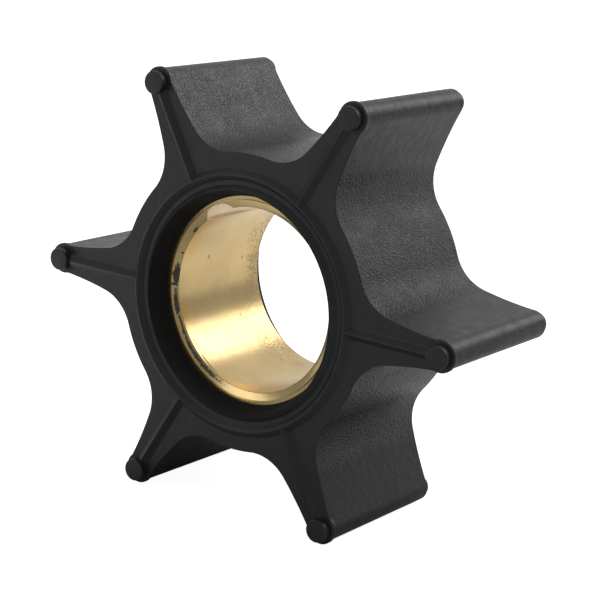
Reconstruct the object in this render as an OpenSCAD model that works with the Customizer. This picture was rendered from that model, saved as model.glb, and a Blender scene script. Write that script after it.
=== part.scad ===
// Flexible pump impeller: a moulded rubber star bonded around a brass bushing.
// The bore runs along Y, the front face looks towards -Y, and the origin is
// the middle of the bore. It stands on the round ends of its two lower vanes.

/* [Impeller] */
// Diameter over the round ends of two opposite vanes
tip_d = 67.4; // [62:0.1:90]
// Width of the rubber between its two flat faces
face_w = 23.5; // [14:0.5:40]
// Number of vanes
vanes = 6; // [5:1:7]
// Diameter of the shaft bore
bore_d = 25.4; // [20:0.1:28]

/* [Vanes] */
// Thickness of a vane at its round end
vane_tip_t = 3.9; // [3.7:0.1:5]
// Angle at which each flank leaves the round end, in degrees
flank_angle = 3.5; // [2:0.5:6]
// Radius of the hollow flank along a vane
flank_r = 55; // [40:1:120]
// Radius of the fillet between a flank and the hub
root_r = 6.4; // [4:0.1:7]
// Width by which the collar at the front end of a vane's tip stands out
collar_lip = 0.2; // [0.1:0.05:0.4]
// Thickness of the collars along the bore
collar_t = 0.7; // [0.4:0.1:2]

/* [Bushing] */
// Depth of the bushing's end faces below the rubber faces
bushing_recess = 2.35; // [1:0.05:4]
// Width of the lead-in cone at each end of the bore
lead_w = 1; // [0.4:0.05:1.5]
// Depth of the lead-in cones
lead_h = 0.45; // [0.2:0.05:1]
// Width of the turned groove outside each lead-in cone
groove_w = 0.28; // [0.15:0.01:0.5]
// Depth of the turned grooves
groove_h = 0.3; // [0.1:0.05:0.6]
// Width of the flat left bare between a groove and the rubber
bare_w = 0.27; // [0.1:0.01:0.6]
// Width by which the rubber laps over each end of the bushing
rubber_lap = 1.35; // [0.8:0.05:2.5]

/* [Keyway] */
// Radius of the round-bottomed keyway
key_r = 2.8; // [2:0.1:3.5]
// Depth of the keyway below the wall of the bore
key_depth = 1.2; // [0.6:0.05:1.6]
// Angle of the keyway from the +X vane, in degrees
key_angle = 120; // [0:5:355]

/* [Mouth] */
// Width by which the opening in the rubber flares out to its edge
mouth_flare = 0.95; // [0.3:0.05:1.5]
// Width of the flat top of the lip around the mouth
lip_land_w = 0.12; // [0.05:0.01:0.3]
// Width of the sloping outside of the lip
lip_slope_w = 0.75; // [0.3:0.05:1]
// Height of the lip over the face
lip_h = 0.78; // [0.3:0.02:0.9]

/* [Face details] */
// Width of the flat floor between the lip and the sealing ring
ring_gap = 0.55; // [0.1:0.05:1.5]
// Width of the sealing ridges at the face
ridge_w = 1.65; // [0.8:0.05:2]
// Width of the flat crest of the sealing ridges
crest_w = 0.14; // [0.1:0.02:0.4]
// Height of the sealing ridges over the face
ridge_h = 0.75; // [0.3:0.05:0.9]
// Width of the hub's rim outside the sealing ring
rim_w = 2.13; // [1:0.01:3]
// Diameter of the round boss at the end of each vane
boss_d = 3.15; // [2.4:0.05:3.3]
// Height of the bosses over the front face
boss_h = 1.15; // [0.9:0.05:2]
// Height of the bosses over the back face
back_boss_h = 0.8; // [0.8:0.05:1.2]
// Radius of the rounded rim of the bosses
boss_rim_r = 0.15; // [0.1:0.05:0.5]
// Rubber left between a boss and the end of its vane
boss_margin = 0.32; // [0.1:0.01:0.5]

/* [Hidden] */

$fn = 96;
flank_fn = 720;        // only a short arc of a flank's full circle is used
rim_fn = 48;
sink = 0.4;            // depth to which raised details reach into the rubber
over = 1;              // length by which a cut runs past the face that it opens
bite = 0.002;          // by which arcs that run into each other cross, not just touch

face_z = face_w / 2;
bushing_z = face_z - bushing_recess;
lip_z = face_z + lip_h;

// Radii from the bore outwards, each from the one inside it
bore_r = bore_d / 2;
lead_r = bore_r + lead_w;
groove_r = lead_r + groove_w;
seat_r = groove_r + bare_w;
bushing_r = seat_r + rubber_lap;
mouth_r = seat_r + mouth_flare;
lip_land_r = mouth_r + lip_land_w;
lip_foot_r = lip_land_r + lip_slope_w;
ring_r = lip_foot_r + ring_gap + ridge_w / 2;
hub_r = ring_r + ridge_w / 2 + rim_w;

// Round end of a vane, in the vane's own plane: x along the vane, y across it
tip_r = vane_tip_t / 2;
tip_x = tip_d / 2 - tip_r;
boss_x = tip_d / 2 - boss_margin - boss_d / 2;
collar_r = tip_r + collar_lip;

// The flank's arc starts on the round end, and a fillet joins it to the hub
flank_n = [sin(flank_angle), cos(flank_angle)];
flank_start = [tip_x, 0] + tip_r * flank_n;
flank_c = flank_start + flank_r * flank_n;
root_reach = hub_r + root_r;
flank_reach = flank_r - root_r;
flank_c_dist = norm(flank_c);
root_along = (root_reach ^ 2 - flank_reach ^ 2 + flank_c_dist ^ 2) / (2 * flank_c_dist);
root_off = sqrt(root_reach ^ 2 - root_along ^ 2);
flank_u = flank_c / flank_c_dist;
root_c = root_along * flank_u + root_off * [flank_u.y, -flank_u.x];
flank_end = root_c + (root_c - flank_c) * root_r / flank_reach;

function across(p) = [p.x, -p.y];

// Closes a section whose lower half mirrors the upper one
function closed(half) =
    concat(half, [for (i = [len(half) - 1 : -1 : 0]) across(half[i])]);

// Turns the bore from Z, in which the parts are drawn, to Y
module standing() {
    rotate([90, 0, 0]) children();
}

// Draws its children on a face: side 0 is the front, and side 1 the mirrored back
module on_face(side) {
    mirror([0, 0, side]) translate([0, 0, face_z]) children();
}

module on_each_vane() {
    for (i = [0 : vanes - 1])
        rotate(i * 360 / vanes) children();
}

// Outer stretch of a vane, hollowed along both flanks
module flank_plan() {
    difference() {
        polygon([flank_start, flank_end, across(flank_end), across(flank_start)]);
        translate(flank_c) circle(r = flank_r + bite, $fn = flank_fn);
        translate(across(flank_c)) circle(r = flank_r + bite, $fn = flank_fn);
    }
}

// Inner stretch of a vane, up to the line from the middle of one fillet to the other
module root_plan() {
    polygon([flank_end, root_c, [0, 0], across(root_c), across(flank_end)]);
}

// Fillets between a vane and the hub
module root_fillets() {
    translate(root_c) circle(r = root_r + 2 * bite);
    translate(across(root_c)) circle(r = root_r + 2 * bite);
}

module star_plan() {
    circle(r = hub_r);
    on_each_vane() {
        translate([tip_x, 0]) circle(r = tip_r);
        difference() {
            union() {
                flank_plan();
                root_plan();
            }
            root_fillets();
        }
    }
}

// Section of a sealing ridge, standing on the face and sunk into it
module ridge_section() {
    polygon([
        [-ridge_w / 2, -sink], [-ridge_w / 2, 0], [-crest_w / 2, ridge_h],
        [crest_w / 2, ridge_h], [ridge_w / 2, 0], [ridge_w / 2, -sink]
    ]);
}

module sealing_ring() {
    rotate_extrude() translate([ring_r, 0]) ridge_section();
}

// Straight ridge along a vane, from the sealing ring to the boss
module sealing_rib() {
    translate([ring_r, 0, 0])
        rotate([90, 0, 90])
            linear_extrude(height = boss_x - ring_r) ridge_section();
}

// Slightly wider disc at the end of a vane's tip, flush with the face
module tip_collar() {
    translate([tip_x, 0, -collar_t]) cylinder(r = collar_r, h = collar_t);
}

module tip_boss(rise) {
    translate([boss_x, 0, 0])
        rotate_extrude() {
            translate([0, -sink]) square([boss_d / 2, rise + sink - boss_rim_r]);
            translate([0, rise - boss_rim_r])
                square([boss_d / 2 - boss_rim_r, boss_rim_r]);
            translate([boss_d / 2 - boss_rim_r, rise - boss_rim_r])
                intersection() {
                    circle(r = boss_rim_r, $fn = rim_fn);
                    square(boss_rim_r);
                }
        }
}

// Raised lip around the mouth; its inside is cut by the opening for the bushing
module mouth_lip() {
    rotate_extrude()
        polygon([
            [seat_r, -sink], [lip_foot_r, -sink], [lip_foot_r, 0],
            [lip_land_r, lip_h], [seat_r, lip_h]
        ]);
}

// Room for the bushing, with a tapered opening to each face
module bushing_room() {
    taper = (mouth_r - seat_r) / (lip_z - bushing_z);
    half = [
        [bushing_r, bushing_z], [seat_r, bushing_z],
        [mouth_r + taper * over, lip_z + over], [0, lip_z + over]
    ];
    rotate_extrude() polygon(closed(half));
}

// What stands on a face, with bosses of a given height
module face_details(rise) {
    sealing_ring();
    mouth_lip();
    on_each_vane() {
        sealing_rib();
        tip_boss(rise);
    }
}

module rubber_body() {
    color("#262726")
        standing()
            difference() {
                union() {
                    translate([0, 0, -face_z]) linear_extrude(height = face_w) star_plan();
                    on_face(0) {
                        face_details(boss_h);
                        on_each_vane() tip_collar();
                    }
                    on_face(1) face_details(back_boss_h);
                }
                bushing_room();
            }
}

// Half of the bushing's section, from the middle of the bore to its front end
function bushing_half() = [
    [bore_r, bushing_z - lead_h], [lead_r, bushing_z], [lead_r, bushing_z - groove_h],
    [groove_r, bushing_z - groove_h], [groove_r, bushing_z], [bushing_r, bushing_z]
];

module brass_bushing() {
    color("#d2ae6c")
        standing()
            difference() {
                rotate_extrude() polygon(closed(bushing_half()));
                rotate(key_angle)
                    translate([bore_r + key_depth - key_r, 0, -bushing_z - over])
                        cylinder(r = key_r, h = 2 * (bushing_z + over));
            }
}

rubber_body();
brass_bushing();
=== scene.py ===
"""A rubber pump impeller moulded around a brass bushing, standing on two of its vanes.

All shapes are modelled in millimetres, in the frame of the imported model: the bore runs
along Y, the front faces -Y, and angles go round from the +X vane as seen from the front.
"""

import logging
import math
from dataclasses import dataclass
from enum import Enum

import bmesh
import bpy
from mathutils import Matrix, Quaternion, Vector


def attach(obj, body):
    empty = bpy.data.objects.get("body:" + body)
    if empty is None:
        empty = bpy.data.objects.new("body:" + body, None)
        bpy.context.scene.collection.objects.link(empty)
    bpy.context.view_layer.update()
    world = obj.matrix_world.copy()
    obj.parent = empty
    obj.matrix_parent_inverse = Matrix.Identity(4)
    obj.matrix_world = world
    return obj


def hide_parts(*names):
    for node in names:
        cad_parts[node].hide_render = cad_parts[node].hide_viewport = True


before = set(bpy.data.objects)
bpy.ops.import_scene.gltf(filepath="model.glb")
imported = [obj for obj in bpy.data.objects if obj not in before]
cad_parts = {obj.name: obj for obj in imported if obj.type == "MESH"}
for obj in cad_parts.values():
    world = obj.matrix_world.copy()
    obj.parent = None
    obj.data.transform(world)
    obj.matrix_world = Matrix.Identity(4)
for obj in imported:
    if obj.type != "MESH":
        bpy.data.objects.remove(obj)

# Metres in a millimetre
MM = 0.001
# Millimetres within which points are merged, and within which they count as level
MERGED = 1e-4
LEVEL = 1e-3
# The way that the front looks
FRONT = Vector((0.0, -1.0, 0.0))
# The middle between the lowest and the highest value of a noise pattern
MIDDLE = 0.5
LOG = logging.getLogger("impeller")
Shape = bmesh.types.BMesh
Socket = bpy.types.NodeSocket
Colour = tuple[float, float, float]
Span = tuple[float, float]


# Shapes


class Cut(Enum):
    """How one closed shape changes another."""

    JOIN = "UNION"
    REMOVE = "DIFFERENCE"


def points_of(parts: list) -> list[bmesh.types.BMVert]:
    """Keeps only the points of some parts of a shape."""
    return [part for part in parts if isinstance(part, bmesh.types.BMVert)]


class Section:
    """A pen that draws half the section of a turned shape.

    Its points are a radius from the turning axis and a height towards the front.
    """

    def __init__(self, radius: float, height: float) -> None:
        """Starts the section at a point."""
        self.bm = bmesh.new()
        self.first = self.bm.verts.new((radius, -height, 0.0))
        self.last = self.first

    def to(self, radius: float, height: float) -> "Section":
        """Draws a straight line to a point."""
        point = self.bm.verts.new((radius, -height, 0.0))
        self.bm.edges.new((self.last, point))
        self.last = point
        return self

    def bend(self, radius: float, height: float, degrees: float, steps: int) -> "Section":
        """Draws an arc.

        Args:
            radius: Radius of the arc's centre from the turning axis.
            height: Height of the arc's centre.
            degrees: Angle of the arc, positive from outwards to the front.
            steps: Number of straight pieces.

        Returns:
            The pen itself.
        """
        swept = bmesh.ops.spin(
            self.bm, geom=[self.last], cent=(radius, -height, 0.0), axis=(0, 0, -1),
            angle=math.radians(degrees), steps=steps, use_duplicate=False,
        )
        self.last = points_of(swept["geom_last"])[0]
        return self

    def close(self) -> "Section":
        """Joins the last point to the first."""
        self.bm.edges.new((self.last, self.first))
        return self

    def turned(self, steps: int) -> Shape:
        """Turns the section fully round the bore's axis.

        Args:
            steps: Number of facets in a full turn.

        Returns:
            The closed shape.
        """
        bmesh.ops.spin(
            self.bm, geom=self.bm.verts[:] + self.bm.edges[:], cent=(0, 0, 0), axis=FRONT,
            angle=math.tau, steps=steps, use_merge=True, use_duplicate=False,
        )
        return closed(self.bm)


def closed(bm: Shape) -> Shape:
    """Merges the doubles of a shape and turns its faces outwards."""
    bmesh.ops.remove_doubles(bm, verts=bm.verts[:], dist=MERGED)
    bmesh.ops.recalc_face_normals(bm, faces=bm.faces[:])
    return bm


def filled(bm: Shape, way: tuple[float, float, float]) -> Shape:
    """Fills an outline and draws it out into a closed shape.

    Args:
        bm: The outline, which is changed.
        way: How far the outline is drawn out along X, Y and Z.

    Returns:
        The closed shape.
    """
    face = bmesh.ops.contextual_create(bm, geom=bm.edges[:])["faces"]
    far = bmesh.ops.extrude_face_region(bm, geom=face)["geom"]
    bmesh.ops.translate(bm, vec=way, verts=points_of(far))
    return closed(bm)


def moved(bm: Shape, x: float, degrees: float = 0.0, to_back: bool = False) -> Shape:
    """Copies a shape out along a vane.

    Args:
        bm: The shape, drawn on the front at the middle.
        x: How far it goes out.
        degrees: Angle of the vane.
        to_back: Whether the copy is mirrored to the back.

    Returns:
        The copy.
    """
    copy = bm.copy()
    bmesh.ops.translate(copy, vec=(x, 0, 0), verts=copy.verts[:])
    bmesh.ops.rotate(copy, cent=(0, 0, 0), verts=copy.verts[:],
                     matrix=Matrix.Rotation(math.radians(degrees), 3, FRONT))
    if to_back:
        bmesh.ops.scale(copy, vec=(1, -1, 1), verts=copy.verts[:])
        bmesh.ops.reverse_faces(copy, faces=copy.faces[:])
    return copy


def rounded(bm: Shape, edges: list[bmesh.types.BMEdge], offset: float,
            segments: int) -> None:
    """Rounds some edges of a shape.

    Args:
        bm: The shape, which is changed.
        edges: Its edges to round.
        offset: Width of the rounding on each side of an edge.
        segments: Number of straight pieces across the rounding.
    """
    bmesh.ops.bevel(bm, geom=edges, offset=offset, segments=segments, profile=0.5,
                    affect="EDGES", offset_type="OFFSET", clamp_overlap=True,
                    material=-1)


def as_object(bm: Shape, name: str) -> bpy.types.Object:
    """Makes an object of a shape and frees the shape."""
    mesh = bpy.data.meshes.new(name)
    bm.to_mesh(mesh)
    bm.free()
    made = bpy.data.objects.new(name, mesh)
    bpy.context.scene.collection.objects.link(made)
    return made


def combined(base: bpy.types.Object, tools: list[Shape],
             how: Cut) -> bpy.types.Object:
    """Joins shapes to an object, or cuts them out of it.

    Args:
        base: The object that is changed.
        tools: The other shapes, which are used up.
        how: Whether they are joined or removed.

    Returns:
        The object with its new mesh.
    """
    group = bpy.data.collections.new("tools")
    bpy.context.scene.collection.children.link(group)
    others = []
    for tool in tools:
        other = as_object(tool, "tool")
        bpy.context.scene.collection.objects.unlink(other)
        group.objects.link(other)
        others.append(other)
    modifier = base.modifiers.new("combine", "BOOLEAN")
    modifier.operation = how.value
    modifier.operand_type = "COLLECTION"
    modifier.collection = group
    modifier.solver = "EXACT"
    bpy.context.view_layer.update()
    result = bpy.data.meshes.new_from_object(
        base.evaluated_get(bpy.context.evaluated_depsgraph_get()))
    base.modifiers.clear()
    old, base.data = base.data, result
    bpy.data.meshes.remove(old)
    for other in others:
        bpy.data.meshes.remove(other.data)
    bpy.data.collections.remove(group)
    return base


def finished(piece: bpy.types.Object, sharp_degrees: float) -> None:
    """Brings a piece from millimetres to metres, sets its shading and reports it.

    Args:
        piece: The piece.
        sharp_degrees: Edges that turn by more than this stay sharp.
    """
    mesh = piece.data
    mesh.transform(Matrix.Scale(MM, 4))
    mesh.shade_smooth()
    mesh.set_sharp_from_angle(angle=math.radians(sharp_degrees))
    weights = piece.modifiers.new("even_shading", "WEIGHTED_NORMAL")
    weights.keep_sharp = True
    LOG.info("%s: %d faces", piece.name, len(mesh.polygons))


@dataclass
class RubberBody:
    """The moulded star of vanes with the sealing ridges on both its faces.

    Steps and facets are numbers of straight pieces: those of arc_steps are for the
    round end, the flank, the fillet and the hub.
    """

    name: str = "moulded_rubber"
    tip_d: float = 67.4
    face_w: float = 23.5
    vanes: int = 6
    vane_tip_t: float = 3.9
    flank_angle: float = 3.5
    flank_r: float = 55.0
    root_r: float = 6.4
    hub_r: float = 20.4
    edge_r: float = 0.12
    collar_lip: float = 0.2
    collar_t: float = 0.7
    ring_r: float = 17.445
    ridge_w: float = 1.65
    crest_w: float = 0.14
    ridge_h: float = 0.75
    crest_round: float = 0.06
    foot_round: float = 0.25
    boss_d: float = 3.15
    boss_h: float = 1.15
    back_boss_h: float = 0.8
    boss_rim_r: float = 0.15
    boss_margin: float = 0.32
    mouth_r: float = 15.2
    lip_land_w: float = 0.12
    lip_slope_w: float = 0.75
    lip_h: float = 0.78
    lip_bevel_in: float = 0.02
    lip_bevel_out: float = 0.03
    lip_bevel_h: float = 0.04
    mouth_round: float = 0.05
    seat_r: float = 14.25
    bushing_r: float = 15.6
    bushing_z: float = 9.4
    sink: float = 0.4
    over: float = 1.0
    step: float = 0.004
    arc_steps: tuple[int, int, int, int] = (16, 12, 20, 7)
    edge_steps: int = 3
    foot_steps: int = 3
    crest_steps: int = 2
    rim_steps: int = 6
    facets: int = 256
    end_facets: int = 64
    sharp_degrees: float = 35.0

    def __post_init__(self) -> None:
        """Works out where the arcs of a vane's outline meet."""
        self.face_z = self.face_w / 2
        self.tip_r = self.vane_tip_t / 2
        self.tip_x = self.tip_d / 2 - self.tip_r
        self.boss_x = self.tip_d / 2 - self.boss_margin - self.boss_d / 2
        self.collar_r = self.tip_r + self.collar_lip
        self.foot_centre_h = self.face_z + self.foot_round - self.step
        lean = math.radians(self.flank_angle)
        normal = Vector((math.sin(lean), math.cos(lean)))
        start = Vector((self.tip_x, 0.0)) + self.tip_r * normal
        self.flank_c = start + self.flank_r * normal
        reach = self.hub_r + self.root_r
        inner = self.flank_r - self.root_r
        far = self.flank_c.length
        along = (reach ** 2 - inner ** 2 + far ** 2) / (2 * far)
        off = math.sqrt(reach ** 2 - along ** 2)
        unit = self.flank_c / far
        self.root_c = along * unit + off * Vector((unit.y, -unit.x))
        self.flank_turn = math.degrees(
            (self.root_c - self.flank_c).angle_signed(-normal))
        self.root_turn = math.degrees(
            (-self.root_c).angle_signed(self.root_c - self.flank_c))
        self.hub_turn = (180.0 / self.vanes
                         - math.degrees(math.atan2(self.root_c.y, self.root_c.x)))

    def star(self) -> Shape:
        """Builds the star of vanes, with rounded edges around both faces."""
        bm = bmesh.new()
        point = bm.verts.new((self.tip_d / 2, -self.face_z, 0.0))
        arcs = (
            ((self.tip_x, 0.0), 90.0 - self.flank_angle),
            (self.flank_c, self.flank_turn),
            (self.root_c, self.root_turn),
            ((0.0, 0.0), self.hub_turn),
        )
        for ((x, z), degrees), steps in zip(arcs, self.arc_steps):
            swept = bmesh.ops.spin(
                bm, geom=[point], cent=(x, -self.face_z, z), axis=FRONT,
                angle=math.radians(degrees), steps=steps, use_duplicate=False)
            point = points_of(swept["geom_last"])[0]
        bmesh.ops.mirror(bm, geom=bm.verts[:] + bm.edges[:], axis="Z", merge_dist=MERGED)
        bmesh.ops.spin(
            bm, geom=bm.verts[:] + bm.edges[:], cent=(0, 0, 0), axis=FRONT,
            angle=math.tau * (self.vanes - 1) / self.vanes, steps=self.vanes - 1,
            use_duplicate=True)
        bmesh.ops.remove_doubles(bm, verts=bm.verts[:], dist=LEVEL)
        filled(bm, (0, self.face_w, 0))
        rims = [e for e in bm.edges
                if abs(e.verts[0].co.y - e.verts[1].co.y) < self.edge_r]
        rounded(bm, rims, self.edge_r, self.edge_steps)
        return bm

    def ridge(self, radius: float, height: float) -> Section:
        """Draws the section of a sealing ridge.

        Args:
            radius: Where its middle is.
            height: How high it stands over the face.

        Returns:
            The closed section, sunk into the rubber.
        """
        crest, steps = self.crest_w / 2, self.foot_steps
        low, top = self.face_z - self.sink, self.face_z + height
        slope, reach, bow = self.foot_fillet(self.ridge_w / 2 - crest, height)
        foot = self.ridge_w / 2 + reach
        centre_h = self.foot_centre_h
        return (Section(radius - foot, low).to(radius - foot, centre_h - self.foot_round)
                .bend(radius - foot, centre_h, slope, steps)
                .to(radius - crest, top).to(radius + crest, top)
                .to(radius + foot - bow.x, centre_h - bow.y)
                .bend(radius + foot, centre_h, slope, steps)
                .to(radius + foot, low).close())

    def foot_fillet(self, run: float, rise: float) -> tuple[float, float, Vector]:
        """Fits the small fillet between the face and a slope that rises from it.

        Args:
            run: Width of the slope.
            rise: Height of the slope.

        Returns:
            The slope's angle in degrees, how far the fillet reaches out from the slope's
            foot, and the way from the fillet's top to its centre.
        """
        slope = math.atan2(rise, run)
        bow = self.foot_round * Vector((math.sin(slope), math.cos(slope)))
        return math.degrees(slope), self.foot_round * math.tan(slope / 2), bow

    def round_crest(self, bm: Shape, height: float) -> None:
        """Rounds the long edges along the crest of a ridge.

        Args:
            bm: The ridge, which is changed.
            height: Height of the crest over the face.
        """
        crest = [edge for edge in bm.edges if edge.calc_length() > 2 * self.crest_w
                 and all(abs(-v.co.y - self.face_z - height) < LEVEL for v in edge.verts)]
        rounded(bm, crest, self.crest_round, self.crest_steps)

    def ring(self) -> Shape:
        """Builds the sealing ring."""
        bm = self.ridge(self.ring_r, self.ridge_h).turned(self.facets)
        self.round_crest(bm, self.ridge_h)
        return bm

    def rib(self) -> Shape:
        """Builds the straight ridge from the ring to the boss of the first vane."""
        height = self.ridge_h - 2 * self.step
        bm = self.ridge(0.0, height).bm
        bmesh.ops.rotate(bm, cent=(0, 0, 0), verts=bm.verts[:],
                         matrix=Matrix.Rotation(math.radians(90), 3, FRONT))
        bmesh.ops.translate(bm, vec=(self.ring_r, 0, 0), verts=bm.verts[:])
        filled(bm, (self.boss_x - self.ring_r, 0, 0))
        self.round_crest(bm, height)
        return bm

    def boss(self, height: float) -> Shape:
        """Builds the round boss at the end of a vane, drawn at the middle."""
        radius, top = self.boss_d / 2, self.face_z + height
        section = (Section(0.0, self.face_z - self.sink)
                   .to(radius, self.face_z - self.sink)
                   .to(radius, top - self.boss_rim_r)
                   .bend(radius - self.boss_rim_r, top - self.boss_rim_r, 90,
                         self.rim_steps)
                   .to(0.0, top))
        return section.turned(self.end_facets)

    def collar(self) -> Shape:
        """Builds the collar at the front end of a vane's tip, drawn at the middle."""
        top = self.face_z - self.step
        back = self.face_z - self.collar_t
        flat_r, steps = self.collar_r - self.edge_r, self.edge_steps
        section = (Section(0.0, back).to(flat_r, back)
                   .bend(flat_r, back + self.edge_r, 90, steps)
                   .to(self.collar_r, top - self.edge_r)
                   .bend(flat_r, top - self.edge_r, 90, steps).to(0.0, top))
        return section.turned(self.end_facets)

    def lip(self) -> Shape:
        """Builds the lip around the mouth."""
        land = self.mouth_r + self.lip_land_w
        top = self.face_z + self.lip_h
        inside = self.seat_r - self.over
        low = self.face_z - self.sink
        slope, reach, bow = self.foot_fillet(self.lip_slope_w, self.lip_h)
        foot = land + self.lip_slope_w + reach
        return (Section(inside, top).to(land - self.lip_bevel_in, top)
                .to(land + self.lip_bevel_out, top - self.lip_bevel_h)
                .to(foot - bow.x, self.foot_centre_h - bow.y)
                .bend(foot, self.foot_centre_h, slope, self.foot_steps)
                .to(foot, low).to(inside, low).close().turned(self.facets))

    def room(self) -> Shape:
        """Builds the shape of the room for the bushing and of the mouth at each end."""
        top = self.face_z + self.lip_h
        end = top + self.over
        bend_r, bend_h = self.mouth_r + self.mouth_round, top - self.mouth_round
        return (Section(0.0, end).to(bend_r, end).to(bend_r, top)
                .bend(bend_r, bend_h, 90, self.edge_steps)
                .to(self.seat_r, self.bushing_z).to(self.bushing_r, self.bushing_z)
                .to(self.bushing_r, -self.bushing_z).to(self.seat_r, -self.bushing_z)
                .to(self.mouth_r, -bend_h).bend(bend_r, -bend_h, 90, self.edge_steps)
                .to(bend_r, -end).to(0.0, -end)
                .turned(self.facets))

    def build(self) -> bpy.types.Object:
        """Builds the whole body."""
        ring, rib, lip, collar = self.ring(), self.rib(), self.lip(), self.collar()
        front_boss, back_boss = self.boss(self.boss_h), self.boss(self.back_boss_h)
        turns = [360.0 * i / self.vanes for i in range(self.vanes)]
        raised = [moved(collar, self.tip_x, turn) for turn in turns]
        for back, boss in ((False, front_boss), (True, back_boss)):
            raised += [moved(ring, 0, 0, back), moved(lip, 0, 0, back)]
            for turn in turns:
                raised += [moved(rib, 0, turn, back), moved(boss, self.boss_x, turn, back)]
        piece = as_object(self.star(), self.name)
        combined(piece, raised, Cut.JOIN)
        combined(piece, [self.room()], Cut.REMOVE)
        for shape in (ring, rib, lip, collar, front_boss, back_boss):
            shape.free()
        finished(piece, self.sharp_degrees)
        return piece

    def dress(self, piece: bpy.types.Object, material: bpy.types.Material) -> None:
        """Gives the body its material and lets it stand for the CAD's body."""
        piece.data.materials.append(material)
        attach(piece, "root")
        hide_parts("rubber_body")


@dataclass
class Bushing:
    """The turned brass bushing with its lead-in cones, grooves and keyway."""

    name: str = "turned_bushing"
    half_l: float = 9.4
    bore_r: float = 12.7
    lead_r: float = 13.7
    lead_h: float = 0.45
    groove_r: float = 13.98
    groove_h: float = 0.3
    bushing_r: float = 15.6
    key_r: float = 2.8
    key_depth: float = 1.2
    key_angle: float = 120.0
    edge_r: float = 0.07
    edge_steps: int = 3
    facets: int = 256
    key_facets: int = 96
    over: float = 2.0
    sharp_degrees: float = 20.0

    def turned(self) -> Shape:
        """Turns the plain bushing."""
        section = Section(self.bore_r, 0.0)
        upper = (
            (self.bore_r, self.half_l - self.lead_h), (self.lead_r, self.half_l),
            (self.lead_r, self.half_l - self.groove_h),
            (self.groove_r, self.half_l - self.groove_h),
            (self.groove_r, self.half_l), (self.bushing_r, self.half_l),
        )
        for radius, height in upper:
            section.to(radius, height)
        for radius, height in reversed(upper):
            section.to(radius, -height)
        bm = section.close().turned(self.facets)
        corner = Vector((self.bore_r, self.half_l - self.lead_h))
        edges = []
        for edge in bm.edges:
            ends = [Vector((math.hypot(v.co.x, v.co.z), abs(v.co.y))) for v in edge.verts]
            if all((end - corner).length < LEVEL for end in ends):
                edges.append(edge)
        rounded(bm, edges, self.edge_r, self.edge_steps)
        return bm

    def key_cutter(self) -> Shape:
        """Builds the round bar that the keyway is cut with."""
        bm = bmesh.new()
        bmesh.ops.create_cone(
            bm, cap_ends=True, segments=self.key_facets, radius1=self.key_r,
            radius2=self.key_r, depth=2 * (self.half_l + self.over),
            matrix=Matrix.Translation((self.bore_r + self.key_depth - self.key_r, 0, 0))
            @ Matrix.Rotation(math.radians(90), 4, "X"))
        return moved(bm, 0, self.key_angle)

    def build(self) -> bpy.types.Object:
        """Builds the whole bushing."""
        piece = as_object(self.turned(), self.name)
        combined(piece, [self.key_cutter()], Cut.REMOVE)
        finished(piece, self.sharp_degrees)
        return piece

    def dress(self, piece: bpy.types.Object, material: bpy.types.Material) -> None:
        """Gives the bushing its material and lets it stand for the CAD's bushing."""
        piece.data.materials.append(material)
        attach(piece, "root")
        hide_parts("brass_bushing")


# Nodes and finishes

Value = Socket | float | tuple[float, ...]


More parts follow.
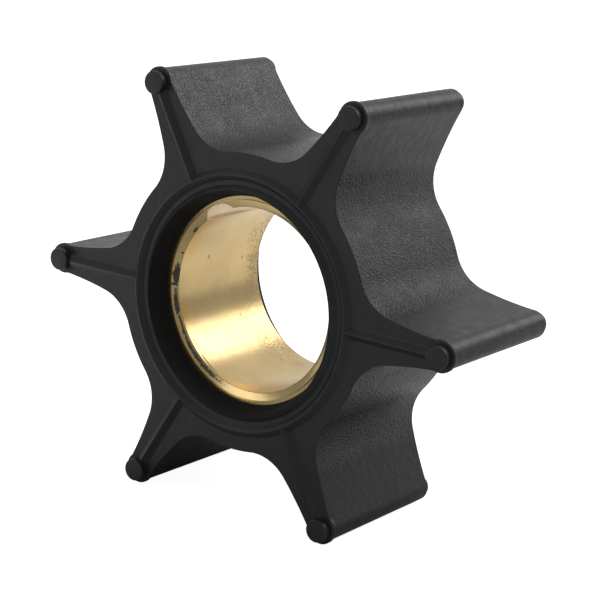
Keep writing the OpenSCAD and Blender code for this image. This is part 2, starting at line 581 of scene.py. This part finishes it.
class Sheet:
    """Adds nodes to a node tree and links them."""

    def __init__(self, tree: bpy.types.NodeTree) -> None:
        """Works on a tree."""
        self.tree = tree

    def add(self, kind: str, *given: Value, **settings: object) -> bpy.types.Node:
        """Adds a node.

        Args:
            kind: Its type.
            given: What goes into its first inputs, in their order.
            settings: Its options by name.

        Returns:
            The node.
        """
        node = self.tree.nodes.new(kind)
        for name, value in settings.items():
            setattr(node, name, value)
        for socket, value in zip(node.inputs, given):
            self.link(value, socket)
        return node

    def link(self, source: Value, target: Socket) -> None:
        """Links a socket to another, or sets the other to a number or a colour."""
        if isinstance(source, Socket):
            self.tree.links.new(source, target)
        else:
            target.default_value = source

    def math(self, operation: str, a: Value, b: Value = 0.0,
             clamp: bool = False) -> Socket:
        """Calculates with one or two values."""
        node = self.add("ShaderNodeMath", a, b, operation=operation, use_clamp=clamp)
        return node.outputs[0]

    def plus(self, first: Value, *others: Value) -> Value:
        """Adds several values."""
        for other in others:
            first = self.math("ADD", first, other)
        return first

    def minus(self, first: Value, second: Value) -> Socket:
        """Takes one value from another."""
        return self.math("SUBTRACT", first, second)

    def times(self, first: Value, *others: Value) -> Value:
        """Multiplies several values."""
        for other in others:
            first = self.math("MULTIPLY", first, other)
        return first

    def over(self, first: Value, second: Value) -> Socket:
        """Divides one value by another."""
        return self.math("DIVIDE", first, second)

    def most(self, first: Value, *others: Value) -> Value:
        """Takes the largest of several values."""
        for other in others:
            first = self.math("MAXIMUM", first, other)
        return first

    def length(self, a: Value, b: Value) -> Socket:
        """Gives the length of a vector with two parts."""
        return self.math("SQRT", self.plus(self.times(a, a), self.times(b, b)))

    def split(self, vector: Socket) -> tuple[Socket, ...]:
        """Takes a vector apart into X, Y and Z."""
        return tuple(self.add("ShaderNodeSeparateXYZ", vector).outputs)

    def scaled(self, vector: Socket, factor: Value) -> Socket:
        """Multiplies a vector by a value."""
        node = self.add("ShaderNodeVectorMath", vector, operation="SCALE")
        self.link(factor, node.inputs["Scale"])
        return node.outputs["Vector"]

    def ramp(self, value: Value, low: Value, high: Value,
             bottom: Value = 0.0, top: Value = 1.0) -> Socket:
        """Goes smoothly from bottom to top while the value goes from low to high."""
        node = self.add("ShaderNodeMapRange", value, low, high, bottom, top,
                        interpolation_type="SMOOTHSTEP")
        return node.outputs[0]

    def blend(self, factor: Value, a: Value, b: Value) -> Socket:
        """Mixes two values."""
        node = self.add("ShaderNodeMix", factor, data_type="FLOAT")
        self.link(a, node.inputs["A"])
        self.link(b, node.inputs["B"])
        return node.outputs["Result"]

    def painted(self, colour: Colour, *layers: tuple[Value, Colour]) -> Socket:
        """Lays colours over each other.

        Args:
            colour: The lowest colour.
            layers: For each colour over it, from below, how much it covers and the colour.

        Returns:
            The mixed colour.
        """
        under = (*colour, 1.0)
        for factor, over in layers:
            node = self.add("ShaderNodeMix", factor, data_type="RGBA")
            sockets = {s.identifier: s for s in (*node.inputs, *node.outputs)}
            self.link(under, sockets["A_Color"])
            self.link((*over, 1.0), sockets["B_Color"])
            under = sockets["Result_Color"]
        return under

    def noise(self, place: Socket, scale: Value, detail: float = 2.0,
              roughness: float = 0.5) -> Socket:
        """Adds a noise pattern."""
        node = self.add("ShaderNodeTexNoise", place)
        self.link(scale, node.inputs["Scale"])
        node.inputs["Detail"].default_value = detail
        node.inputs["Roughness"].default_value = roughness
        return node.outputs[0]

    def use(self, effect: bpy.types.NodeTree, **given: Value) -> dict[str, Socket]:
        """Places an effect.

        Args:
            effect: The node group.
            given: Its inputs, with _ for a space in their names.

        Returns:
            Its outputs by name.
        """
        node = self.add("ShaderNodeGroup", node_tree=effect)
        for name, value in given.items():
            self.link(value, node.inputs[name.replace("_", " ")])
        return {socket.name: socket for socket in node.outputs}


class Effect(Sheet):
    """A node group that both materials use, with named inputs and outputs."""

    def __init__(self, name: str, values: dict[str, float], *outputs: str) -> None:
        """Starts the group with a place input, some numbers and its outputs."""
        super().__init__(bpy.data.node_groups.new(name, "ShaderNodeTree"))
        sockets = self.tree.interface
        sockets.new_socket(name="Place", in_out="INPUT", socket_type="NodeSocketVector")
        for label, value in values.items():
            made = sockets.new_socket(name=label, in_out="INPUT",
                                      socket_type="NodeSocketFloat")
            made.default_value = value
        for label in outputs:
            sockets.new_socket(name=label, in_out="OUTPUT", socket_type="NodeSocketFloat")
        self.given = self.add("NodeGroupInput").outputs
        self.results = self.add("NodeGroupOutput").inputs


class Effects:
    """The effects that the rubber and the brass share. Places are in millimetres."""

    def __init__(self) -> None:
        """Builds each of them once."""
        self.round_place = self.build_round_place()
        self.grain = self.build_grain()
        self.specks = self.build_specks()
        self.mark = self.build_mark()

    def build_round_place(self) -> bpy.types.NodeTree:
        """Gives the radius, the angle in degrees from the -X side, and the depth."""
        group = Effect("round_place", {}, "Radius", "Angle", "Depth")
        x, y, z = group.split(group.given["Place"])
        turn = group.math("ARCTAN2", group.times(z, -1.0), group.times(x, -1.0))
        group.link(group.length(x, z), group.results["Radius"])
        group.link(group.math("DEGREES", turn), group.results["Angle"])
        group.link(y, group.results["Depth"])
        return group.tree

    def build_grain(self) -> bpy.types.NodeTree:
        """Gives a fine uneven grain whose strength itself changes over the surface."""
        group = Effect("grain", {"Size": 0.3, "Patch Size": 4.0, "Patchiness": 0.5},
                       "Height", "Patches")
        place = group.given["Place"]
        fine = group.noise(place, group.over(1.0, group.given["Size"]), roughness=0.55)
        broad = group.noise(place, group.over(1.0, group.given["Patch Size"]))
        patches = group.ramp(broad, low=0.3, high=0.7)
        level = group.blend(group.given["Patchiness"], 1.0, patches)
        group.link(group.times(group.minus(fine, MIDDLE), level), group.results["Height"])
        group.link(patches, group.results["Patches"])
        return group.tree

    def build_specks(self) -> bpy.types.NodeTree:
        """Gives round specks of uneven size in a share of evenly spread cells."""
        smallest, edge = 0.3, 0.5
        group = Effect("specks", {"Cell": 1.0, "Size": 0.2, "Share": 0.3}, "Mask")
        cells = group.add("ShaderNodeTexVoronoi", group.given["Place"])
        group.link(group.over(1.0, group.given["Cell"]), cells.inputs["Scale"])
        chance, size, _ = group.split(cells.outputs["Color"])
        radius = group.times(group.given["Size"], group.plus(size, smallest))
        spot = group.ramp(cells.outputs["Distance"], radius, group.times(radius, edge))
        kept = group.math("LESS_THAN", chance, group.given["Share"])
        group.link(group.times(spot, kept), group.results["Mask"])
        return group.tree

    def build_mark(self) -> bpy.types.NodeTree:
        """Gives an oval mark with a ragged or a soft edge."""
        group = Effect(
            "mark", {"Along": 0.0, "Across": 0.0, "Centre Along": 0.0, "Centre Across": 0.0,
                     "Half Length": 1.0, "Half Width": 1.0, "Slant": 0.0, "Ragged": 0.0,
                     "Ragged Size": 0.5, "Softness": 0.2}, "Mask")
        given = group.given
        along = group.minus(given["Along"], given["Centre Along"])
        across = group.minus(given["Across"], given["Centre Across"])
        across = group.minus(across, group.times(given["Slant"], along))
        far = group.length(group.over(along, given["Half Length"]),
                           group.over(across, given["Half Width"]))
        noise = group.noise(given["Place"], group.over(1.0, given["Ragged Size"]),
                            detail=3.0, roughness=0.6)
        rag = group.times(group.minus(noise, MIDDLE), given["Ragged"])
        mask = group.ramp(group.plus(far, rag), group.plus(1.0, given["Softness"]),
                          group.minus(1.0, given["Softness"]))
        group.link(mask, group.results["Mask"])
        return group.tree


@dataclass(frozen=True)
class Mark:
    """A stain, scratch or tint on a turned surface.

    Its middle is an angle in degrees from the -X side and a radius or a depth in
    millimetres, and its half size is in the same units.
    """

    angle: float
    across: float
    half_angle: float
    half_across: float
    ragged: float = 0.0
    ragged_size: float = 0.5
    softness: float = 0.2
    slant: float = 0.0


@dataclass(frozen=True)
class Grain:
    """A fine grain: its size, and the size and depth of its stronger patches."""

    size: float
    patch_size: float
    patchiness: float


@dataclass(frozen=True)
class Specks:
    """Scattered specks: size of a cell, size of a speck, share of cells that have one."""

    cell: float
    size: float
    share: float


class Finish:
    """What a material starts with: nodes, a shader, and places in millimetres."""

    def __init__(self, name: str, effects: Effects) -> None:
        """Makes the material."""
        self.effects = effects
        self.material = bpy.data.materials.new(name)
        self.material.use_nodes = True
        self.sheet = Sheet(self.material.node_tree)
        self.shader = self.material.node_tree.nodes["Principled BSDF"]
        coordinates = self.sheet.add("ShaderNodeTexCoord")
        self.place = self.sheet.scaled(coordinates.outputs["Object"], 1 / MM)
        spots = self.sheet.use(effects.round_place, Place=self.place)
        self.radius, self.angle, self.depth = (
            spots["Radius"], spots["Angle"], spots["Depth"])
        self.out_depth = self.sheet.math("ABSOLUTE", self.depth)

    def grain(self, grain: Grain) -> dict[str, Socket]:
        """Places a grain and gives its height and its patches."""
        return self.sheet.use(self.effects.grain, Place=self.place, Size=grain.size,
                              Patch_Size=grain.patch_size, Patchiness=grain.patchiness)

    def specks(self, specks: Specks) -> Socket:
        """Places specks and gives their mask."""
        return self.sheet.use(self.effects.specks, Place=self.place, Cell=specks.cell,
                              Size=specks.size, Share=specks.share)["Mask"]

    def marks(self, marks: tuple[Mark, ...], across: Value) -> Value:
        """Places several marks.

        Args:
            marks: The marks.
            across: The radius or the depth, whichever their middles are given in.

        Returns:
            The mask of all of them together.
        """
        return self.sheet.most(*(self.sheet.use(
            self.effects.mark, Place=self.place, Along=self.angle, Across=across,
            Centre_Along=mark.angle, Centre_Across=mark.across,
            Half_Length=mark.half_angle, Half_Width=mark.half_across, Slant=mark.slant,
            Ragged=mark.ragged, Ragged_Size=mark.ragged_size, Softness=mark.softness,
        )["Mask"] for mark in marks))

    def bump(self, height: Value, distance: float) -> None:
        """Lets a height in the pattern bend the light.

        Args:
            height: The height, about 1 from low to high.
            distance: That height in metres.
        """
        node = self.sheet.add("ShaderNodeBump")
        node.inputs["Distance"].default_value = distance
        self.sheet.link(height, node.inputs["Height"])
        self.sheet.link(node.outputs["Normal"], self.shader.inputs["Normal"])


@dataclass(frozen=True)
class MouldedRubber:
    """Black rubber with gritty pockets, smooth faces and a matt mouth.

    A span in depth or radius says where one part of the finish gives way to the next.
    """

    face_colour: Colour = (0.02, 0.021, 0.0215)
    flank_colour: Colour = (0.008, 0.0088, 0.0098)
    worn_colour: Colour = (0.018, 0.0182, 0.0184)
    # Painted sheen: a pale grainy colour on the flank of one vane, standing in for the
    # softbox's light on it
    painted_sheen_colour: Colour = (0.24, 0.232, 0.205)
    # Painted shade: the wall of the mouth, a recess, is coloured darker and bluer than the
    # rest of the rubber
    mouth_shade_colour: Colour = (0.006, 0.0068, 0.008)
    dust_colour: Colour = (0.16, 0.15, 0.13)
    worn_share: float = 0.5
    painted_sheen_share: float = 0.8
    dust_share: float = 0.9
    face_roughness: float = 0.42
    flank_roughness: float = 0.42
    grain_roughness: float = 0.31
    mouth_roughness: float = 0.85
    cloud_roughness: float = 0.25
    fine_roughness: float = 0.12
    specular: float = 0.42
    flank_depth: Span = (11.72, 11.63)
    flank_radius: Span = (16.4, 17.4)
    mouth_radius: Span = (15.35, 15.3)
    fade_radius: Span = (22.5, 26.0)
    outer_grain: float = 0.1
    face_grain: float = 0.12
    waves: float = 0.35
    height: float = 0.00023
    grain: Grain = Grain(0.28, 3.5, 0.35)
    cloud: Grain = Grain(1.6, 7.0, 0.3)
    # Grain and span of the painted sheen on one flank
    painted_sheen: Grain = Grain(0.2, 2.5, 0.2)
    painted_sheen_span: Span = (-0.04, 0.12)
    dust: Specks = Specks(2.6, 0.07, 0.28)
    sanded: tuple[Mark, ...] = (Mark(-76.0, 27.5, 18.0, 6.5, 0.5, 3.0, 0.5),)
    # Place of the painted sheen: the upper-left vane's flank, which faces the softbox
    painted_sheen_marks: tuple[Mark, ...] = (Mark(-69.0, 28.5, 10.0, 5.5, 0.6, 2.5, 0.5),)

    def material(self, effects: Effects) -> bpy.types.Material:
        """Makes the material."""
        finish = Finish("black_rubber", effects)
        sheet, shader, radius = finish.sheet, finish.shader, finish.radius
        shader.inputs["Specular IOR Level"].default_value = self.specular
        flank = sheet.times(sheet.ramp(finish.out_depth, *self.flank_depth),
                            sheet.ramp(radius, *self.flank_radius))
        mouth = sheet.ramp(radius, *self.mouth_radius)
        fade = sheet.ramp(radius, *self.fade_radius, 1.0, self.outer_grain)
        grainy = sheet.times(flank, sheet.most(fade, finish.marks(self.sanded, radius)))
        grain, cloud = finish.grain(self.grain), finish.grain(self.cloud)
        sheet.link(self.colours(finish, flank, mouth, cloud["Patches"]),
                   shader.inputs["Base Color"])
        rough = sheet.blend(flank, self.face_roughness, self.flank_roughness)
        rough = sheet.blend(grainy, rough, self.grain_roughness)
        rough = sheet.blend(mouth, rough, self.mouth_roughness)
        uneven = sheet.plus(sheet.times(cloud["Height"], self.cloud_roughness),
                            sheet.times(grain["Height"], self.fine_roughness))
        sheet.link(sheet.math("ADD", rough, uneven, clamp=True), shader.inputs["Roughness"])
        finish.bump(sheet.plus(sheet.times(grain["Height"], grainy),
                               sheet.times(grain["Height"], self.face_grain),
                               sheet.times(cloud["Height"], self.waves)), self.height)
        return finish.material

    def colours(self, finish: Finish, flank: Value, mouth: Value,
                patches: Value) -> Socket:
        """Lays the colours over each other.

        Args:
            finish: The material's nodes.
            flank: Mask of the flanks of the vanes.
            mouth: Mask of the mouth's wall.
            patches: Mask of broad patches, in which the flanks are worn.

        Returns:
            The colour.
        """
        sheet = finish.sheet
        # Painted sheen: pale grainy colour on one vane's flank, standing in for the light
        # that falls on it
        painted_sheen = sheet.times(
            finish.marks(self.painted_sheen_marks, finish.radius), flank,
            sheet.ramp(finish.grain(self.painted_sheen)["Height"], *self.painted_sheen_span))
        return sheet.painted(
            self.face_colour, (flank, self.flank_colour),
            (sheet.times(flank, patches, self.worn_share), self.worn_colour),
            (sheet.times(painted_sheen, self.painted_sheen_share), self.painted_sheen_colour),
            # Painted shade on the mouth's recessed wall
            (mouth, self.mouth_shade_colour),
            (sheet.times(finish.specks(self.dust), self.dust_share), self.dust_colour))


@dataclass(frozen=True)
class TurnedBrass:
    """Turned brass with stains in the lead-in cone and tarnish in the bore."""

    colour: Colour = (0.72, 0.525, 0.25)
    cone_colour: Colour = (0.64, 0.49, 0.24)
    key_colour: Colour = (0.74, 0.56, 0.36)
    orange_colour: Colour = (0.80, 0.49, 0.16)
    tarnish_colour: Colour = (0.42, 0.31, 0.14)
    speck_colour: Colour = (0.19, 0.14, 0.07)
    smear_colour: Colour = (0.075, 0.068, 0.048)
    dot_share: float = 0.6
    fleck_share: float = 0.35
    spot_share: float = 0.45
    scratch_share: float = 0.9
    glow_share: float = 0.8
    tarnish_share: float = 0.5
    bare_tarnish: float = 0.5
    roughness: float = 0.23
    cloud_roughness: float = 0.12
    dark_roughness: float = 0.2
    smear_roughness: float = 0.25
    grain_height: float = 0.6
    ring_height: float = 0.35
    dark_height: float = -0.6
    smear_height: float = 1.5
    height: float = 0.00002
    rings_per_mm: float = 9.0
    bore_radius: Span = (12.7, 12.73)
    bore_depth: Span = (8.98, 8.92)
    key_r: float = 2.8
    key_axis: tuple[float, float] = (-5.55, 9.613)
    key_off: Span = (0.06, 0.03)
    grain: Grain = Grain(0.26, 3.0, 0.4)
    cloud: Grain = Grain(1.3, 5.0, 0.2)
    dots: Specks = Specks(0.24, 0.7, 0.6)
    flecks: Specks = Specks(1.1, 0.11, 0.3)
    smears: tuple[Mark, ...] = (
        Mark(-4.5, 13.08, 7.0, 0.42, 1.7, 0.3, 0.06),
        Mark(-4.3, 13.35, 0.9, 0.4, 1.2, 0.2, 0.1),
        Mark(1.7, 13.35, 0.8, 0.4, 1.2, 0.2, 0.1),
        Mark(14.0, 13.15, 8.0, 0.3, 2.2, 0.3, 0.1),
        Mark(28.0, 13.05, 7.0, 0.12, 0.8, 0.5, 0.1),
        Mark(51.0, 13.15, 19.0, 0.24, 2.6, 0.45, 0.15),
        Mark(-37.5, 12.9, 2.4, 0.14, 1.2, 0.3, 0.1),
        Mark(-19.0, 12.95, 0.7, 0.12, 0.8, 0.3, 0.1),
    )
    scratches: tuple[Mark, ...] = (
        Mark(40.0, -8.3, 5.0, 0.05, 0.5, 0.4, 0.3, 0.02),
        Mark(57.3, -8.55, 9.5, 0.11, 1.0, 0.5, 0.2, -0.012),
        Mark(107.3, -2.9, 3.4, 0.25, 0.9, 0.6, 0.3, -0.62),
    )
    spots: tuple[Mark, ...] = (
        Mark(-12.2, -3.0, 1.5, 0.3, 1.0, 0.3, 0.3),
        Mark(42.8, 7.2, 1.1, 0.2, 0.8, 0.3, 0.3),
        Mark(31.1, 3.2, 0.8, 0.14, 0.8, 0.3, 0.3),
        Mark(-6.5, 5.0, 1.3, 0.25, 1.2, 0.3, 0.3),
        Mark(-49.6, -4.4, 0.8, 4.6, 1.0, 0.5, 0.4),
    )
    tarnish: tuple[Mark, ...] = (
        Mark(-12.0, 8.1, 32.0, 2.5, 1.0, 2.0, 0.5),
        Mark(60.0, 6.4, 17.0, 2.4, 1.2, 2.0, 0.6),
    )
    glows: tuple[Mark, ...] = (
        Mark(-26.0, -8.6, 9.0, 1.8, 0.5, 3.0, 0.6),
        Mark(20.0, -8.7, 10.0, 1.1, 0.5, 3.0, 0.6),
        Mark(92.0, -8.8, 26.0, 1.4, 0.5, 3.0, 0.6),
    )

    def material(self, effects: Effects) -> bpy.types.Material:
        """Makes the material."""
        finish = Finish("brass", effects)
        sheet, shader, depth = finish.sheet, finish.shader, finish.depth
        bore = sheet.ramp(finish.out_depth, *self.bore_depth)
        cone = sheet.minus(1.0, bore)
        front = sheet.math("LESS_THAN", depth, 0.0)
        grain, cloud = finish.grain(self.grain), finish.grain(self.cloud)
        stain = sheet.times(finish.marks(self.tarnish, depth), bore)
        dark = sheet.most(
            sheet.times(finish.specks(self.dots), stain, self.dot_share),
            sheet.times(finish.specks(self.flecks), self.fleck_share),
            sheet.times(finish.marks(self.spots, depth), bore, self.spot_share),
            sheet.times(finish.marks(self.scratches, depth), bore, self.scratch_share))
        smear = sheet.times(finish.marks(self.smears, finish.radius), cone, front)
        tarnish = sheet.times(sheet.plus(stain, self.bare_tarnish), cloud["Patches"],
                              self.tarnish_share)
        glow = sheet.times(finish.marks(self.glows, depth), bore, self.glow_share)
        colour = sheet.painted(
            self.colour, (cone, self.cone_colour),
            (sheet.times(self.keyway(finish), bore), self.key_colour),
            (glow, self.orange_colour), (tarnish, self.tarnish_colour),
            (dark, self.speck_colour), (smear, self.smear_colour))
        sheet.link(colour, shader.inputs["Base Color"])
        sheet.link(sheet.minus(1.0, smear), shader.inputs["Metallic"])
        rough = sheet.plus(self.roughness, sheet.times(cloud["Height"], self.cloud_roughness),
                           sheet.times(dark, self.dark_roughness))
        rough = sheet.math("ADD", rough, sheet.times(smear, self.smear_roughness), clamp=True)
        sheet.link(rough, shader.inputs["Roughness"])
        finish.bump(sheet.plus(sheet.times(grain["Height"], self.grain_height),
                               self.turned_rings(finish),
                               sheet.times(dark, self.dark_height),
                               sheet.times(smear, self.smear_height)), self.height)
        return finish.material

    def turned_rings(self, finish: Finish) -> Value:
        """Gives the height of the fine rings that turning leaves."""
        sheet = finish.sheet
        rings = sheet.add("ShaderNodeTexNoise", noise_dimensions="1D")
        sheet.link(sheet.plus(finish.depth, finish.radius), rings.inputs["W"])
        rings.inputs["Scale"].default_value = self.rings_per_mm
        return sheet.times(sheet.minus(rings.outputs[0], MIDDLE), self.ring_height)

    def keyway(self, finish: Finish) -> Value:
        """Finds the wall of the keyway by its distance from the keyway's axis."""
        sheet = finish.sheet
        x, _, z = sheet.split(finish.place)
        away = sheet.length(sheet.minus(x, self.key_axis[0]),
                            sheet.minus(z, self.key_axis[1]))
        off = sheet.math("ABSOLUTE", sheet.minus(away, self.key_r))
        return sheet.times(sheet.ramp(off, *self.key_off),
                           sheet.ramp(finish.radius, *self.bore_radius))


# Studio


@dataclass(frozen=True)
class Lamp:
    """A soft square lamp that points at the object."""

    name: str
    at: tuple[float, float, float]
    size: float
    power: float

    def build(self) -> None:
        """Adds the lamp."""
        data = bpy.data.lights.new(self.name, "AREA")
        data.shape, data.size, data.energy = "SQUARE", self.size, self.power
        lamp = bpy.data.objects.new(self.name, data)
        lamp.location = self.at
        lamp.rotation_mode = "QUATERNION"
        lamp.rotation_quaternion = (-Vector(self.at)).to_track_quat("-Z", "Y")
        bpy.context.scene.collection.objects.link(lamp)


@dataclass(frozen=True)
class Studio:
    """Floor, lights, background and camera, in metres and degrees.

    A span says over which part of a direction or of the floor a brightness changes.
    """

    floor_z: float = -0.02967
    floor_size: float = 4.0
    floor_colour: Colour = (0.65, 0.65, 0.65)
    white: tuple[float, float, float, float] = (1.0, 1.0, 1.0, 1.0)
    floor_shown: float = 0.93
    floor_mirrored: float = 0.52
    glow_lean: float = 0.8
    glow_left: Span = (-0.02, 0.02)
    glow_away: Span = (0.018, 0.05)
    camera_at: tuple[float, float, float] = (0.147175, -0.206553, 0.065153)
    look_azimuth: float = 35.169
    look_down: float = 14.694
    roll: float = 4.195
    lens: float = 113.539
    sensor: float = 36.0
    clip: Span = (0.01, 20.0)
    room_colour: Colour = (0.98, 0.99, 1.0)
    room_level: float = 0.33
    backdrop_level: float = 0.8
    backdrop_y: Span = (-0.35, 0.35)
    right_share: float = 0.25
    right_x: Span = (0.6, 0.9)
    gap_level: float = 0.35
    gap_turn: Span = (30.0, 37.0)
    gap_low: Span = (-0.1, -0.03)
    gap_high: Span = (0.5, 0.3)
    lamps: tuple[Lamp, ...] = (
        Lamp("softbox", (0.189, 0.475, 0.318), 0.29, 0.7),
        Lamp("front", (-0.34, -0.43, 0.26), 0.27, 0.33),
    )

    def camera(self) -> None:
        """Places the camera."""
        data = bpy.data.cameras.new("camera")
        data.lens, data.sensor_width = self.lens, self.sensor
        data.clip_start, data.clip_end = self.clip
        camera = bpy.data.objects.new("camera", data)
        azimuth, down = math.radians(self.look_azimuth), math.radians(self.look_down)
        ahead = Vector((-math.sin(azimuth) * math.cos(down),
                        math.cos(azimuth) * math.cos(down), -math.sin(down)))
        camera.rotation_mode = "QUATERNION"
        camera.rotation_quaternion = (
            ahead.to_track_quat("-Z", "Y")
            @ Quaternion((0.0, 0.0, 1.0), math.radians(self.roll)))
        camera.location = self.camera_at
        bpy.context.scene.collection.objects.link(camera)
        bpy.context.scene.camera = camera

    def world(self) -> None:
        """Sets a white background, a pale backdrop behind and a dimmer room in front."""
        world = bpy.data.worlds.new("studio")
        world.use_nodes = True
        world.node_tree.nodes.clear()
        sheet = Sheet(world.node_tree)
        x, y, z = sheet.split(sheet.add("ShaderNodeTexCoord").outputs["Generated"])
        behind = sheet.ramp(y, *self.backdrop_y)
        level = sheet.times(sheet.blend(behind, self.room_level, self.backdrop_level),
                            sheet.ramp(x, *self.right_x, 1.0, self.right_share))
        turn = (math.radians(degrees) for degrees in self.gap_turn)
        gap = sheet.times(sheet.ramp(sheet.math("ARCTAN2", x, y), *turn),
                          sheet.ramp(z, *self.gap_low), sheet.ramp(z, *self.gap_high))
        light = sheet.add("ShaderNodeBackground", (*self.room_colour, 1.0),
                          sheet.blend(gap, level, self.gap_level))
        shown = sheet.add("ShaderNodeBackground", self.white, 1.0)
        path = sheet.add("ShaderNodeLightPath").outputs
        mix = sheet.add("ShaderNodeMixShader", path["Is Camera Ray"], light.outputs[0],
                        shown.outputs[0])
        sheet.add("ShaderNodeOutputWorld", mix.outputs[0])
        bpy.context.scene.world = world

    def floor(self) -> None:
        """Lays the plain pale floor."""
        bm = bmesh.new()
        bmesh.ops.create_grid(bm, x_segments=1, y_segments=1, size=self.floor_size)
        bmesh.ops.translate(bm, vec=(0, 0, self.floor_z), verts=bm.verts[:])
        floor = as_object(bm, "floor")
        floor.data.materials.append(self.floor_material())

    def floor_material(self) -> bpy.types.Material:
        """Makes the floor matt, bright for the camera and, at the left, in mirrors."""
        material = bpy.data.materials.new("floor")
        material.use_nodes = True
        sheet = Sheet(material.node_tree)
        sheet.tree.nodes.clear()
        path = sheet.add("ShaderNodeLightPath").outputs
        mirrored = sheet.most(path["Is Glossy Ray"], path["Is Transmission Ray"])
        x, y, _ = sheet.split(sheet.add("ShaderNodeTexCoord").outputs["Object"])
        left = sheet.minus(sheet.times(y, self.glow_lean), x)
        bright = sheet.times(sheet.ramp(left, *self.glow_left),
                             sheet.ramp(sheet.length(x, y), *self.glow_away))
        level = sheet.plus(sheet.times(path["Is Camera Ray"], self.floor_shown),
                           sheet.times(mirrored, bright, self.floor_mirrored))
        matt = sheet.add("ShaderNodeBsdfDiffuse", (*self.floor_colour, 1.0))
        glow = sheet.add("ShaderNodeEmission", self.white, level)
        both = sheet.add("ShaderNodeAddShader", matt.outputs[0], glow.outputs[0])
        sheet.add("ShaderNodeOutputMaterial", both.outputs[0])
        return material

    def build(self) -> None:
        """Builds the whole studio."""
        self.camera()
        self.world()
        self.floor()
        for lamp in self.lamps:
            lamp.build()
        bpy.context.scene.view_settings.view_transform = "Standard"


def main() -> None:
    """Builds the studio and the impeller."""
    logging.basicConfig(level=logging.INFO, format="%(name)s: %(message)s")
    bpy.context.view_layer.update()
    Studio().build()
    effects = Effects()
    body, bushing = RubberBody(), Bushing()
    body.dress(body.build(), MouldedRubber().material(effects))
    bushing.dress(bushing.build(), TurnedBrass().material(effects))


if __name__ == "__main__":
    main()
